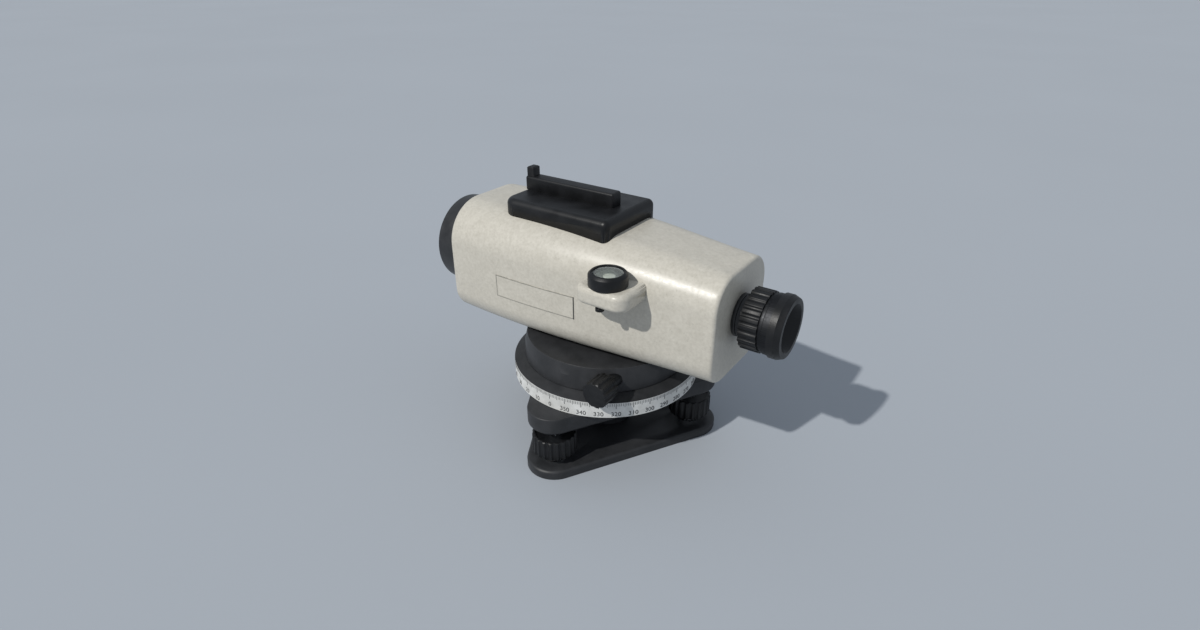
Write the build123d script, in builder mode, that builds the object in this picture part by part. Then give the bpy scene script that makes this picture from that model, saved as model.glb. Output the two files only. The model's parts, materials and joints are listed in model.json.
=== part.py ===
from build123d import *
import os
from math import asin, copysign, cos, pi, sin, sqrt

os.makedirs("parts", exist_ok=True)

# Lengths are in millimetres. Z is up, +X points to the eyepiece, -Y is the side with the vial.
# The origin is the centre of the base plate's underside, on the vertical axis.

# Clearances
running_fit = 0.05
seat_fit = 0.02
gap = 0.3

# Base plate and its tripod thread
foot_reach = 51.0
foot_count = 3
first_foot = -90.0
foot_turn = 360.0 / foot_count
plate_corner = 16.0
plate_thick = 5.5
plate_edge = 1.0
thread_r = 6.75
thread_length = 12.0
bush_r = 11.0
bush_flange_r = 15.0

# Foot screws and what holds their feet
socket_r = 7.0
socket_sink = 3.0
socket_height = 7.0
ball_r = 3.0
ball_lift = 3.7
ball_fit = 0.15
neck_r = 2.0
neck_opening = 2.6
screw_r = 4.0
screw_top = 38.0
foot_knob_r = 12.5
foot_knob_low = 10.2
foot_knob_height = 11.8
foot_knob_flutes = 20
foot_flute_r = 1.5
foot_flute_depth = 0.9
foot_knob_rim = 1.8
foot_knob_dish = 0.8
foot_knob_edge = 0.6
spindle_edge = 0.6

# Tribrach with its hub and boss
tribrach_low = 28.0
tribrach_thick = 11.4
lobe_r = 14.4
tribrach_edge = 2.5
hub_r = 20.0
hub_drop = 10.0
screw_bush_r = 5.2
screw_bush_drop = 2.5
lobe_roof = 0.5
axis_r = 9.0
sleeve_wall = 3.0
circle_boss_r = 16.0
wheel_boss_r = 14.5
wheel_boss_top = 59.0

# Horizontal circle
circle_r = 54.0
rim_width = 6.5
rim_inner = 2.0
circle_height = 9.1
band_thick = 1.2
circle_edge = 0.2
circle_rise = 2.3
circle_web = 3.0
circle_hub_r = 20.0
circle_hub_height = 6.3
retainer_r = 19.0
retainer_thick = 3.7
washer_thick = 1.0
washer_r = 18.0

# Lower housing, a cup that covers the worm wheel
cup_wall = 3.0
cup_wall_height = 7.8
cup_bevel = 1.5
cup_height = 13.8
cup_roof = 3.3

# Worm wheel and drive shaft
wheel_teeth = 72
wheel_r = 25.2
tooth_depth = 1.2
tooth_share = 0.5
wheel_rim_width = 5.6
wheel_web = 3.0
wheel_hub_wall = 4.0
drive_x = 29.4
drive_z = 58.6
drive_shaft_r = 2.5
worm_length = 15.0
worm_groove = 0.6
worm_pitch = 2.2
worm_gap = 0.15
worm_room = 0.45
drive_bush_r = 4.0
drive_bush_length = 10.0
drive_boss_width = 13.0
drive_boss_depth = 7.0
drive_knob_r = 7.5
drive_knob_length = 11.8
drive_knob_flutes = 12
drive_flute_r = 1.6
drive_flute_depth = 0.9
drive_knob_edge = 0.7
knob_skin = 2.0

# Vertical axis and its fasteners
axis_flange_r = 13.6
axis_flange_thick = 2.5
axis_nut_r = 13.0
axis_nut_thick = 2.4
spindle_screw_reach = 11.3
spindle_screw_count = 3
spindle_screw_r = 1.2
spindle_screw_head_r = 2.1
spindle_screw_head = 1.8
spindle_screw_length = 3.4
housing_screw_x = 23.0
housing_screw_y = 19.0
housing_screw_pad = 2.8
housing_screw_r = 1.5
housing_screw_head_r = 2.75
housing_screw_head = 2.5
housing_screw_length = 7.4

# Body housing, a hollow casting drawn as sections from nose to tail
sight_z = 97.9
body_low = 66.0
body_wall = 3.0
body_low_corner = 15.0
nose_x = -85.0
nose_half = 35.8
nose_top = 132.4
nose_high_corner = 24.0
cheek_x = -45.0
cheek_half = 37.6
cheek_top = 132.2
cheek_high_corner = 23.0
waist_x = 0.0
waist_half = 36.0
waist_top = 131.3
waist_high_corner = 22.0
loin_x = 40.0
loin_half = 32.2
loin_top = 128.4
loin_high_corner = 20.0
tail_x = 80.9
tail_half = 29.0
tail_top = 124.0
tail_corner = 16.5
nose_edge = 2.0
tail_edge = 2.0
body_pad_r = 20.0
floor_pad_thick = 1.0
floor_pad_front = -66.0
floor_pad_back = 60.0
floor_pad_half = 18.0
hatch_front = -46.0
hatch_back = 8.0
hatch_half = 14.0

# Top cover with its open sight
cover_front = -54.0
cover_back = 16.0
cover_half = 23.8
cover_top = 139.5
cover_sink = 7.2
cover_front_corner = 8.0
cover_back_corner = 3.5
cover_edge = 3.5
bar_front = -53.0
bar_back = 6.5
bar_half = 4.2
bar_height = 7.6
bar_corner = 1.5
bar_edge = 1.3
post_length = 4.4
post_half = 2.8
post_height = 5.2
post_edge = 0.6

# Circular vial and its bracket
vial_x = 29.4
vial_y = -41.9
vial_r = 9.9
vial_height = 7.0
vial_bore_r = 7.6
vial_floor = 1.2
glass_thick = 1.3
glass_dome = 0.5
glass_step = 0.5
bracket_half = 15.0
bracket_front = -51.6
bracket_back = -24.0
bracket_low = 107.0
bracket_thick = 9.5
bracket_corner = 7.0
bracket_edge = 3.0
vial_screw_reach = 7.0
vial_screw_count = 3
vial_screw_r = 1.2
vial_screw_head_r = 2.2
vial_screw_head = 1.6

# Objective
barrel_front = -106.8
barrel_r = 26.8
barrel_edge = 1.0
hood_wall = 1.6
hood_depth = 9.8
spigot_step = 3.3
spigot_back = -70.0
lens_seat = 3.5
lens_stop = 2.0
lens_back = -85.0
lens_edge = 5.0
lens_bulge = 1.2
ring_thick = 2.5
ring_wall = 1.8

# Focusing
tube_r = 15.0
tube_wall = 2.0
tube_front = -66.0
tube_back = -28.0
saddle_length = 4.0
saddle_half = 9.0
cell_x = -46.0
cell_length = 14.0
cell_wall = 2.9
focus_travel = 9.0
focus_lens_edge = 4.0
focus_lens_hollow = 1.0
focus_x = -44.0
pinion_r = 4.9
pinion_teeth = 12
pinion_near = 16.0
pinion_width = 5.0
pinion_tooth_depth = 1.3
mesh_gap = 0.1
rack_length = 30.0
rack_height = 4.5
rack_tooth_depth = 1.2
arm_length = 6.0
arm_height = 3.0
arm_inner = 5.0
slot_room = 0.5
focus_shaft_r = 2.5
focus_bush_r = 6.0
focus_bush_inner = 30.0
focus_bush_outer = 38.3
focus_knob_r = 14.5
focus_knob_length = 15.5
focus_knob_flutes = 24
focus_flute_r = 1.5
focus_flute_depth = 0.8
focus_knob_edge = 1.0

# Compensator
comp_front = -14.0
comp_back = 40.0
comp_half = 15.0
comp_base_thick = 3.0
bracket_plate = 3.0
bridge_low = 118.0
bridge_thick = 3.0
bridge_half = 5.0
window_r = 9.0
prism_size = 12.0
prism_half = 7.0
pendulum_x = 13.0
clamp_half_x = 4.0
clamp_half_y = 9.0
clamp_thick = 3.0
clamp_top = 108.0
arm_side = 7.2
arm_plate = 1.8
vane_low = 78.0
vane_half_x = 3.0
vane_thick = 1.5
pendulum_prism_half_x = 8.0
pendulum_prism_low = 86.0
pendulum_prism_height = 8.0
tape_thick = 0.4
tape_half = 1.2
tape_spread_x = 3.0
tape_spread_y = 3.0
magnet_half_x = 4.0
magnet_thick = 3.0
magnet_gap = 1.0

# Eyepiece
ocular_front = 55.0
ocular_r = 9.5
ocular_bore = 8.0
ocular_flange_r = 11.2
ocular_flange = 2.1
ocular_collar_r = 10.5
ocular_end = 88.0
reticle_front = 58.0
reticle_thick = 2.0
reticle_ring = 3.0
eye_barrel_front = 70.0
eye_barrel_wall = 1.1
eye_barrel_end = 100.0
field_lens_x = 77.0
eye_lens_x = 95.5
eye_lens_thick = 3.0
eye_lens_bulge = 0.6
ring_front = 86.5
ring_length = 9.5
ring_r = 16.0
ring_flutes = 24
ring_flute_r = 1.3
ring_flute_depth = 0.7
ring_room = 4.0
ring_hollow = 0.4
ocular_band_r = 15.0
ocular_band = 2.0
cup_length = 9.7
eyecup_r = 16.5
eyecup_rim_r = 15.3
eyecup_bevel = 3.0
eyecup_mouth_r = 12.5
eyecup_floor = 2.0

# Places that follow from the sizes above
cup_r = circle_r - rim_width
circle_inner_r = cup_r - rim_inner
tribrach_top = tribrach_low + tribrach_thick
hub_low = tribrach_low - hub_drop
circle_low = tribrach_top + gap
band_top = circle_low + circle_height
circle_top = band_top + circle_rise
sleeve_r = axis_r + sleeve_wall
circle_boss_top = circle_low + circle_hub_height + gap
retainer_top = circle_boss_top + retainer_thick
washer_top = retainer_top + washer_thick
wheel_low = washer_top + gap
cup_low = circle_top + gap
cup_top = cup_low + cup_height
roof_low = cup_top - cup_roof
wheel_top = drive_z + wheel_rim_width / 2
axis_flange_low = roof_low - axis_flange_thick
screw_bush_top = tribrach_top - lobe_roof
socket_low = plate_thick - socket_sink
ball_z = socket_low + ball_lift
worm_r = drive_x - wheel_r - worm_gap
floor_z = body_low + body_wall + floor_pad_thick
band_inner_r = circle_r - band_thick
cup_wall_y = sqrt(cup_r**2 - drive_x**2)
drive_bush_outer = sqrt(cup_r**2 - (drive_x - drive_knob_r) ** 2)
drive_knob_inner = drive_bush_outer + gap
cell_r = tube_r - tube_wall - running_fit
cell_front = cell_x - cell_length / 2
rack_top = sight_z - pinion_r - mesh_gap
vial_low = bracket_low + bracket_thick
bar_top = cover_top + bar_height
cover_skirt = cheek_top - cover_sink
flange_back = tail_x + ocular_flange
hood_r = barrel_r - hood_wall
spigot_r = barrel_r - spigot_step
lens_r = spigot_r - lens_seat
lens_stop_r = lens_r - lens_stop
band_front = ring_front + ring_length
eyecup_front = band_front + ocular_band
eyecup_back = eyecup_front + cup_length
eye_barrel_r = ocular_bore - running_fit
eye_lens_r = eye_barrel_r - eye_barrel_wall - seat_fit

# Working axes and the planes whose first direction runs along them
telescope = Axis((0, 0, sight_z), (1, 0, 0))
telescope_plane = Plane(origin=(0, 0, sight_z), x_dir=(1, 0, 0), z_dir=(0, -1, 0))
drive_axis = Axis((drive_x, 0, drive_z), (0, 1, 0))
drive_plane = Plane(origin=(drive_x, 0, drive_z), x_dir=(0, 1, 0), z_dir=(1, 0, 0))
focus_axis = Axis((focus_x, 0, sight_z), (0, 1, 0))
focus_plane = Plane(origin=(focus_x, 0, sight_z), x_dir=(0, 1, 0), z_dir=(1, 0, 0))


# Profiles that several pieces share
def rounded_triangle(z, corner):
    with BuildSketch(Plane.XY.offset(z)) as outline:
        with PolarLocations(foot_reach, foot_count, start_angle=first_foot):
            Circle(corner)
        make_hull()
    return outline.sketch


def dome_points(edge, radius, bulge):
    sphere_r = (radius**2 + bulge**2) / (2 * abs(bulge))
    half_turn = asin(radius / sphere_r) / 2
    middle = edge + bulge - copysign(sphere_r * (1 - cos(half_turn)), bulge)
    return (edge, radius), (middle, sphere_r * sin(half_turn)), (edge + bulge, 0)


def body_section(x, half_width, height_top, high_corner, inset):
    half = half_width - inset
    low = body_low + inset
    top = height_top - inset
    with BuildSketch(Plane.YZ.offset(x)) as outline:
        with BuildLine():
            Polyline((-half, low), (half, low), (half, top), (-half, top), close=True)
        make_face()
        fillet(outline.vertices().group_by(Axis.Y)[0], body_low_corner - inset)
        fillet(outline.vertices().group_by(Axis.Y)[-1], high_corner - inset)
    return outline.sketch


def body_sections(inset):
    nose = body_section(nose_x + inset, nose_half, nose_top, nose_high_corner, inset)
    cheek = body_section(cheek_x, cheek_half, cheek_top, cheek_high_corner, inset)
    waist = body_section(waist_x, waist_half, waist_top, waist_high_corner, inset)
    loin = body_section(loin_x, loin_half, loin_top, loin_high_corner, inset)
    tail = body_section(tail_x - inset, tail_half, tail_top, tail_corner, inset)
    return [nose, cheek, waist, loin, tail]


# Base plate: a rounded triangle with a bore for the tripod bush and three recesses for the sockets
with BuildPart() as base_plate:
    add(rounded_triangle(0, plate_corner))
    extrude(amount=plate_thick)
    chamfer(base_plate.faces().sort_by(Axis.Z)[-1].edges(), plate_edge)
    with Locations((0, 0, plate_thick)):
        Hole(bush_r + seat_fit)
        with PolarLocations(foot_reach, foot_count, start_angle=first_foot):
            Hole(socket_r + seat_fit, depth=socket_sink)
base_plate.part.label = "base_plate"
export_step(base_plate.part, "parts/base_plate.step")

# Tripod bush: it carries the thread of the tripod's centre screw
with BuildPart() as tripod_bush:
    with BuildSketch():
        Circle(bush_r)
    extrude(amount=plate_thick)
    with BuildSketch(Plane.XY.offset(plate_thick)):
        Circle(bush_flange_r)
    extrude(amount=thread_length - plate_thick)
    with BuildSketch():
        Circle(thread_r)
    extrude(amount=thread_length, mode=Mode.SUBTRACT)
    chamfer(tripod_bush.faces().sort_by(Axis.Z)[-1].outer_wire().edges(), plate_edge)
tripod_bush.part.label = "tripod_bush"
export_step(tripod_bush.part, "parts/tripod_bush.step")

# Foot sockets: each closes over the ball of a foot screw
with BuildPart() as one_socket:
    with BuildSketch(Plane.XY.offset(socket_low)):
        Circle(socket_r)
    extrude(amount=socket_height)
    chamfer(one_socket.faces().sort_by(Axis.Z)[-1].edges(), plate_edge)
    with Locations((0, 0, ball_z)):
        Sphere(ball_r + ball_fit, mode=Mode.SUBTRACT)
    with BuildSketch(Plane.XY.offset(ball_z)):
        Circle(neck_opening)
    extrude(amount=socket_height, mode=Mode.SUBTRACT)
with BuildPart() as foot_sockets:
    with PolarLocations(foot_reach, foot_count, start_angle=first_foot):
        add(one_socket.part)
foot_sockets.part.label = "foot_sockets"
export_step(foot_sockets.part, "parts/foot_sockets.step")

# Foot screws: a threaded spindle with a ball foot, and a fluted knob with a dished top
with BuildPart() as one_spindle:
    with Locations((0, 0, ball_z)):
        Sphere(ball_r)
    with BuildSketch(Plane.XY.offset(ball_z)):
        Circle(neck_r)
    extrude(amount=foot_knob_low - ball_z)
    with BuildSketch(Plane.XY.offset(foot_knob_low)):
        Circle(screw_r)
    extrude(amount=screw_top - foot_knob_low)
    chamfer(one_spindle.faces().sort_by(Axis.Z)[-1].edges(), spindle_edge)
with BuildPart() as one_foot_knob:
    with BuildSketch(Plane.XY.offset(foot_knob_low)):
        Circle(foot_knob_r)
    extrude(amount=foot_knob_height)
    chamfer(one_foot_knob.edges(), foot_knob_edge)
    with BuildSketch(Plane.XY.offset(foot_knob_low)):
        with PolarLocations(foot_knob_r - foot_flute_depth + foot_flute_r, foot_knob_flutes):
            Circle(foot_flute_r)
    extrude(amount=foot_knob_height, mode=Mode.SUBTRACT)
    with BuildSketch(Plane.XY.offset(foot_knob_low + foot_knob_height)):
        Circle(foot_knob_r - foot_knob_rim)
    extrude(amount=-foot_knob_dish, mode=Mode.SUBTRACT)
    with BuildSketch(Plane.XY.offset(foot_knob_low)):
        Circle(screw_r + seat_fit)
    extrude(amount=foot_knob_height, mode=Mode.SUBTRACT)
for number, letter in enumerate("abc"):
    foot_angle = first_foot + number * foot_turn
    with BuildPart() as foot_screw_spindle:
        with PolarLocations(foot_reach, 1, start_angle=foot_angle):
            add(one_spindle.part)
    foot_screw_spindle.part.label = f"foot_screw_spindle_{letter}"
    export_step(foot_screw_spindle.part, f"parts/foot_screw_spindle_{letter}.step")
    with BuildPart() as foot_screw_knob:
        with PolarLocations(foot_reach, 1, start_angle=foot_angle):
            add(one_foot_knob.part)
    foot_screw_knob.part.label = f"foot_screw_knob_{letter}"
    export_step(foot_screw_knob.part, f"parts/foot_screw_knob_{letter}.step")

# Tribrach: three lobes over the foot screws, a hub below and a stepped boss above
with BuildPart() as tribrach:
    add(rounded_triangle(tribrach_low, lobe_r))
    extrude(amount=tribrach_thick)
    chamfer(tribrach.faces().sort_by(Axis.Z)[0].edges(), tribrach_edge)
    with BuildSketch(Plane.XY.offset(hub_low)):
        Circle(hub_r)
    extrude(amount=hub_drop + tribrach_edge)
    chamfer(tribrach.faces().sort_by(Axis.Z)[0].edges(), plate_edge)
    with BuildSketch(Plane.XY.offset(tribrach_top)):
        Circle(circle_boss_r)
    extrude(amount=circle_boss_top - tribrach_top)
    with BuildSketch(Plane.XY.offset(circle_boss_top)):
        Circle(wheel_boss_r)
    extrude(amount=wheel_boss_top - circle_boss_top)
    with BuildSketch(Plane.XY.offset(hub_low)):
        Circle(sleeve_r + seat_fit)
    extrude(amount=wheel_boss_top - hub_low, mode=Mode.SUBTRACT)
    with BuildSketch(Plane.XY.offset(tribrach_low)):
        with PolarLocations(foot_reach, foot_count, start_angle=first_foot):
            Circle(screw_bush_r + seat_fit)
    extrude(amount=screw_bush_top - tribrach_low, mode=Mode.SUBTRACT)
tribrach.part.label = "tribrach"
export_step(tribrach.part, "parts/tribrach.step")

# Foot screw bushes: their bright collars show under the lobes
with BuildPart() as foot_screw_bushes:
    with BuildSketch(Plane.XY.offset(tribrach_low - screw_bush_drop)):
        with PolarLocations(foot_reach, foot_count, start_angle=first_foot):
            Circle(screw_bush_r)
            Circle(screw_r + running_fit, mode=Mode.SUBTRACT)
    extrude(amount=screw_bush_top - tribrach_low + screw_bush_drop)
foot_screw_bushes.part.label = "foot_screw_bushes"
export_step(foot_screw_bushes.part, "parts/foot_screw_bushes.step")

# Axis sleeve: the bearing of the vertical axis
with BuildPart() as axis_sleeve:
    with BuildSketch(Plane.XY.offset(hub_low)):
        Circle(sleeve_r)
        Circle(axis_r + running_fit, mode=Mode.SUBTRACT)
    extrude(amount=wheel_boss_top - hub_low)
axis_sleeve.part.label = "axis_sleeve"
export_step(axis_sleeve.part, "parts/axis_sleeve.step")

# Circle retainer: it keeps the horizontal circle down on the boss
with BuildPart() as circle_retainer:
    with BuildSketch(Plane.XY.offset(circle_boss_top)):
        Circle(retainer_r)
        Circle(wheel_boss_r + seat_fit, mode=Mode.SUBTRACT)
    extrude(amount=retainer_thick)
    chamfer(circle_retainer.faces().sort_by(Axis.Z)[-1].outer_wire().edges(), plate_edge)
circle_retainer.part.label = "circle_retainer"
export_step(circle_retainer.part, "parts/circle_retainer.step")

# Friction washer: the worm wheel slips on it when the instrument is turned by hand
with BuildPart() as friction_washer:
    with BuildSketch(Plane.XY.offset(retainer_top)):
        Circle(washer_r)
        Circle(wheel_boss_r + seat_fit, mode=Mode.SUBTRACT)
    extrude(amount=washer_thick)
friction_washer.part.label = "friction_washer"
export_step(friction_washer.part, "parts/friction_washer.step")

# Horizontal circle: a dark carrier whose rim slopes up to the lower housing
with BuildPart() as circle_carrier:
    with BuildSketch(Plane.XZ):
        with BuildLine():
            Polyline(
                (circle_boss_r + running_fit, circle_low),
                (band_inner_r, circle_low),
                (band_inner_r, band_top),
                (circle_r, band_top),
                (circle_r, band_top + circle_edge),
                (cup_r + circle_edge, circle_top),
                (circle_inner_r, circle_top),
                (circle_inner_r, circle_low + circle_web),
                (circle_hub_r, circle_low + circle_web),
                (circle_hub_r, circle_low + circle_hub_height),
                (circle_boss_r + running_fit, circle_low + circle_hub_height),
                close=True,
            )
        make_face()
    revolve(axis=Axis.Z)
circle_carrier.part.label = "circle_carrier"
export_step(circle_carrier.part, "parts/circle_carrier.step")

# Circle band: the white ring that bears the degrees
with BuildPart() as circle_band:
    with BuildSketch(Plane.XY.offset(circle_low)):
        Circle(circle_r)
        Circle(band_inner_r + seat_fit, mode=Mode.SUBTRACT)
    extrude(amount=circle_height)
circle_band.part.label = "circle_band"
export_step(circle_band.part, "parts/circle_band.step")

# Worm wheel: a toothed rim, a thin web and a hub that runs on the boss
with BuildPart() as worm_wheel:
    with BuildSketch(Plane.XY.offset(drive_z - wheel_rim_width / 2)):
        Circle(wheel_r)
        with PolarLocations(wheel_r, wheel_teeth):
            Rectangle(
                2 * tooth_depth, 2 * pi * wheel_r / wheel_teeth * tooth_share, mode=Mode.SUBTRACT,
            )
    extrude(amount=wheel_rim_width)
    with BuildSketch(Plane.XY.offset(wheel_top)):
        Circle(wheel_r - 2 * tooth_depth)
        Circle(wheel_boss_r + running_fit + wheel_hub_wall, mode=Mode.SUBTRACT)
    extrude(amount=-(wheel_rim_width - wheel_web), mode=Mode.SUBTRACT)
    with BuildSketch(Plane.XY.offset(wheel_low)):
        Circle(wheel_boss_r + running_fit + wheel_hub_wall)
    extrude(amount=wheel_top - wheel_low)
    with BuildSketch(Plane.XY.offset(wheel_low)):
        Circle(wheel_boss_r + running_fit)
    extrude(amount=wheel_top - wheel_low, mode=Mode.SUBTRACT)
worm_wheel.part.label = "worm_wheel"
export_step(worm_wheel.part, "parts/worm_wheel.step")

# Lower housing: a cup with a bevelled shoulder, two bearing bosses and a channel for the worm
with BuildPart() as lower_housing:
    with BuildSketch(Plane.XZ):
        with BuildLine():
            Polyline(
                (0, roof_low),
                (cup_r - cup_wall, roof_low),
                (cup_r - cup_wall, cup_low),
                (cup_r, cup_low),
                (cup_r, cup_low + cup_wall_height),
                (cup_r - cup_bevel, cup_top),
                (0, cup_top),
                close=True,
            )
        make_face()
    revolve(axis=Axis.Z)
    with BuildSketch(Plane.XY.offset(cup_low)):
        Circle(cup_r - cup_wall / 2)
        with Locations((drive_x, 0)):
            Rectangle(drive_boss_width, 2 * cup_r, mode=Mode.INTERSECT)
        Rectangle(2 * cup_r, 2 * (cup_wall_y - drive_boss_depth), mode=Mode.SUBTRACT)
    extrude(amount=cup_height - cup_roof / 2)
    with BuildSketch(drive_plane):
        Rectangle(2 * cup_r, drive_bush_r + seat_fit, align=(Align.CENTER, Align.MIN))
        Rectangle(
            2 * (cup_wall_y - drive_boss_depth - gap), drive_bush_r + seat_fit,
            align=(Align.CENTER, Align.MIN), mode=Mode.SUBTRACT,
        )
        Rectangle(
            worm_length + 2 * worm_room, worm_r + worm_room, align=(Align.CENTER, Align.MIN),
        )
    revolve(axis=drive_axis, mode=Mode.SUBTRACT)
    with BuildSketch(Plane.XY.offset(cup_top)):
        Circle(axis_r + seat_fit)
        with PolarLocations(spindle_screw_reach, spindle_screw_count):
            Circle(spindle_screw_r + seat_fit)
        with GridLocations(2 * housing_screw_x, 2 * housing_screw_y, 2, 2):
            Circle(housing_screw_r + seat_fit)
    extrude(amount=-cup_roof, mode=Mode.SUBTRACT)
    with BuildSketch(Plane.XY.offset(cup_top)):
        with PolarLocations(spindle_screw_reach, spindle_screw_count):
            Circle(spindle_screw_head_r + seat_fit)
    extrude(amount=-spindle_screw_head, mode=Mode.SUBTRACT)
lower_housing.part.label = "lower_housing"
export_step(lower_housing.part, "parts/lower_housing.step")

# Axis spindle: the vertical axis with the flange that carries the lower housing
with BuildPart() as axis_spindle:
    with BuildSketch(Plane.XY.offset(hub_low - gap)):
        Circle(axis_r)
    extrude(amount=cup_top - hub_low + gap)
    with BuildSketch(Plane.XY.offset(axis_flange_low)):
        Circle(axis_flange_r)
    extrude(amount=axis_flange_thick)
    with BuildSketch(Plane.XY.offset(roof_low)):
        with PolarLocations(spindle_screw_reach, spindle_screw_count):
            Circle(spindle_screw_r + seat_fit)
    extrude(amount=-(spindle_screw_length - cup_roof + spindle_screw_head), mode=Mode.SUBTRACT)
axis_spindle.part.label = "axis_spindle"
export_step(axis_spindle.part, "parts/axis_spindle.step")

# Axis nut: it keeps the spindle in its sleeve
with BuildPart() as axis_nut:
    with BuildSketch(Plane.XY.offset(hub_low - gap)):
        Circle(axis_nut_r)
    extrude(amount=-axis_nut_thick)
    chamfer(axis_nut.faces().sort_by(Axis.Z)[0].edges(), plate_edge)
axis_nut.part.label = "axis_nut"
export_step(axis_nut.part, "parts/axis_nut.step")

# Spindle screws: they join the lower housing to the flange
with BuildPart() as spindle_screws:
    with BuildSketch(Plane.XY.offset(cup_top)):
        with PolarLocations(spindle_screw_reach, spindle_screw_count):
            Circle(spindle_screw_head_r)
    extrude(amount=-spindle_screw_head)
    with BuildSketch(Plane.XY.offset(cup_top - spindle_screw_head)):
        with PolarLocations(spindle_screw_reach, spindle_screw_count):
            Circle(spindle_screw_r)
    extrude(amount=-spindle_screw_length)
spindle_screws.part.label = "spindle_screws"
export_step(spindle_screws.part, "parts/spindle_screws.step")

# Housing screws: they hold the body on the lower housing from below
with BuildPart() as housing_screws:
    with BuildSketch(Plane.XY.offset(roof_low)):
        with GridLocations(2 * housing_screw_x, 2 * housing_screw_y, 2, 2):
            Circle(housing_screw_head_r)
    extrude(amount=-housing_screw_head)
    with BuildSketch(Plane.XY.offset(roof_low)):
        with GridLocations(2 * housing_screw_x, 2 * housing_screw_y, 2, 2):
            Circle(housing_screw_r)
    extrude(amount=housing_screw_length)
housing_screws.part.label = "housing_screws"
export_step(housing_screws.part, "parts/housing_screws.step")

# Drive shaft: it runs across the instrument and carries the worm
with BuildPart() as drive_shaft:
    with BuildSketch(drive_plane):
        Rectangle(
            2 * (drive_knob_inner + drive_knob_length - knob_skin), drive_shaft_r,
            align=(Align.CENTER, Align.MIN),
        )
        Rectangle(worm_length, worm_r, align=(Align.CENTER, Align.MIN))
        with GridLocations(worm_pitch, 1, round(worm_length / worm_pitch), 1):
            with Locations((0, worm_r)):
                Rectangle(worm_pitch / 2, 2 * worm_groove, mode=Mode.SUBTRACT)
    revolve(axis=drive_axis)
drive_shaft.part.label = "drive_shaft"
export_step(drive_shaft.part, "parts/drive_shaft.step")

# Drive bushes: the two bearings of the drive shaft
with BuildPart() as drive_bushes:
    for side in (-1, 1):
        with BuildSketch(Plane.XZ.offset(side * (drive_bush_outer - drive_bush_length))):
            with Locations((drive_x, drive_z)):
                Circle(drive_bush_r)
                Circle(drive_shaft_r + running_fit, mode=Mode.SUBTRACT)
        extrude(amount=side * drive_bush_length)
drive_bushes.part.label = "drive_bushes"
export_step(drive_bushes.part, "parts/drive_bushes.step")

# Drive knobs: two fluted knobs, one at each end of the shaft
for side, word in ((1, "near"), (-1, "far")):
    knob_plane = Plane(
        origin=(drive_x, -side * drive_knob_inner, drive_z), x_dir=(1, 0, 0), z_dir=(0, -side, 0),
    )
    with BuildPart() as drive_knob:
        with BuildSketch(knob_plane):
            Circle(drive_knob_r)
        extrude(amount=drive_knob_length)
        chamfer(drive_knob.faces().sort_by(Axis.Y)[(side - 1) // 2].edges(), drive_knob_edge)
        with BuildSketch(knob_plane):
            with PolarLocations(drive_knob_r - drive_flute_depth + drive_flute_r, drive_knob_flutes):
                Circle(drive_flute_r)
        extrude(amount=drive_knob_length, mode=Mode.SUBTRACT)
        with BuildSketch(knob_plane):
            Circle(drive_shaft_r + seat_fit)
        extrude(amount=drive_knob_length - knob_skin, mode=Mode.SUBTRACT)
    drive_knob.part.label = f"drive_knob_{word}"
    export_step(drive_knob.part, f"parts/drive_knob_{word}.step")

# Body housing: a lofted hollow casting with saddles for the guide tube and pads on its floor
with BuildPart() as body_form:
    loft(sections=body_sections(0))
with BuildPart() as main_housing:
    add(body_form.part)
    fillet(main_housing.faces().sort_by(Axis.X)[-1].edges(), tail_edge)
    fillet(main_housing.faces().sort_by(Axis.X)[0].edges(), nose_edge)
    loft(sections=body_sections(body_wall), mode=Mode.SUBTRACT)
    with BuildSketch(Plane.XY.offset(cup_top)):
        Circle(body_pad_r)
        with GridLocations(2 * housing_screw_x, 2 * housing_screw_y, 2, 2):
            Circle(housing_screw_pad)
    extrude(amount=floor_z - cup_top)
    with BuildSketch(Plane.XY.offset(body_low + body_wall / 2)):
        with Locations(((floor_pad_front + floor_pad_back) / 2, 0)):
            Rectangle(floor_pad_back - floor_pad_front, 2 * floor_pad_half)
    extrude(amount=floor_z - body_low - body_wall / 2)
    for saddle_front in (tube_front + gap, tube_back - saddle_length - gap):
        with BuildSketch(Plane.YZ.offset(saddle_front)):
            with BuildLine():
                Polyline(
                    (-saddle_half, floor_z), (saddle_half, floor_z),
                    (saddle_half, sight_z), (-saddle_half, sight_z), close=True,
                )
            make_face()
            with Locations((0, sight_z)):
                Circle(tube_r + seat_fit, mode=Mode.SUBTRACT)
        extrude(amount=saddle_length)
    with BuildSketch(Plane.YZ.offset(nose_x)):
        with Locations((0, sight_z)):
            Circle(spigot_r + seat_fit)
    extrude(amount=2 * body_wall, mode=Mode.SUBTRACT)
    with BuildSketch(Plane.YZ.offset(tail_x)):
        with Locations((0, sight_z)):
            Circle(ocular_r + seat_fit)
    extrude(amount=-2 * body_wall, mode=Mode.SUBTRACT)
    with BuildSketch(focus_plane):
        with Locations((focus_bush_inner - body_wall, 0)):
            Rectangle(
                focus_bush_outer - focus_bush_inner + 2 * body_wall, focus_bush_r + seat_fit,
                align=(Align.MIN, Align.MIN),
            )
    revolve(axis=focus_axis, mode=Mode.SUBTRACT)
    with BuildSketch(Plane.XY.offset(nose_top)):
        with Locations(((hatch_front + hatch_back) / 2, 0)):
            Rectangle(hatch_back - hatch_front, 2 * hatch_half)
    extrude(amount=-3 * body_wall, mode=Mode.SUBTRACT)
    with BuildSketch(Plane.XY.offset(cup_top)):
        with GridLocations(2 * housing_screw_x, 2 * housing_screw_y, 2, 2):
            Circle(housing_screw_r + seat_fit)
    extrude(amount=housing_screw_length - cup_roof, mode=Mode.SUBTRACT)
main_housing.part.label = "main_housing"
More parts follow.
